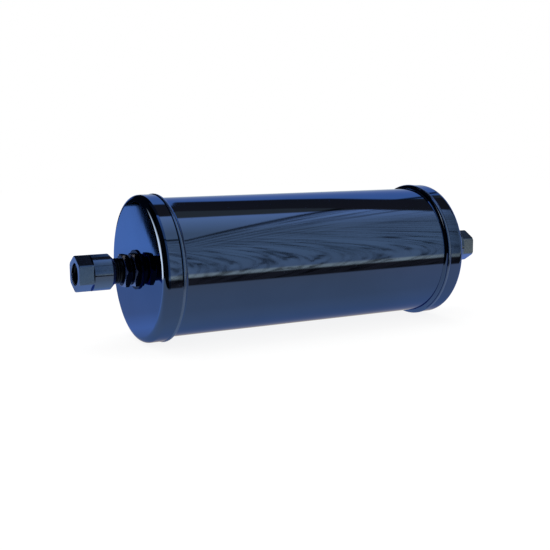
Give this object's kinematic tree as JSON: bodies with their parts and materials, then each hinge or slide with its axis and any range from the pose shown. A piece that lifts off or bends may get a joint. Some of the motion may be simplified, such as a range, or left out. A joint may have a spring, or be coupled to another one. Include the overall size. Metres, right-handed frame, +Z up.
{
  "type": "filter drier",
  "caption": "In-line refrigerant filter drier: a glossy steel canister between drawn end caps, with a screwed hexagonal connector on each end and a spring-loaded drying core.",
  "frame": {"origin": "centre of the canister, on its axis and half way between the two connectors", "axes": "+X along the flow, from the inlet connector to the outlet connector; +Z up, with a corner of each connector's hexagon on top"},
  "size_m": [0.261, 0.081, 0.081],
  "materials": {
    "gloss_enamel": "high gloss deep blue stove enamel over steel",
    "fitting_enamel": "the same deep blue enamel over turned steel fittings",
    "zinc_steel": "plain pressed steel",
    "spring_steel": "drawn spring wire with plain cut ends",
    "seal_copper": "soft annealed copper ring",
    "filter_felt": "matted glass fibre felt",
    "drying_block": "porous moulded desiccant block",
    "wire_screen": "fine woven wire"
  },
  "bodies": {
    "root": {"shell_tube": "gloss_enamel", "inlet_end_cap": "gloss_enamel", "outlet_end_cap": "gloss_enamel", "inlet_seam": "gloss_enamel", "outlet_seam": "gloss_enamel", "inlet_stub": "fitting_enamel", "outlet_stub": "fitting_enamel", "inlet_lock_nut": "fitting_enamel", "outlet_lock_nut": "fitting_enamel", "inlet_connector": "fitting_enamel", "outlet_connector": "fitting_enamel", "inlet_seal": "seal_copper", "outlet_seal": "seal_copper", "diffuser": "zinc_steel", "spring": "spring_steel", "pressure_plate": "zinc_steel", "inlet_filter_pad": "filter_felt", "drying_core": "drying_block", "outlet_filter_pad": "filter_felt", "outlet_screen": "wire_screen", "support_cup": "zinc_steel"}
  },
  "joints": []
}
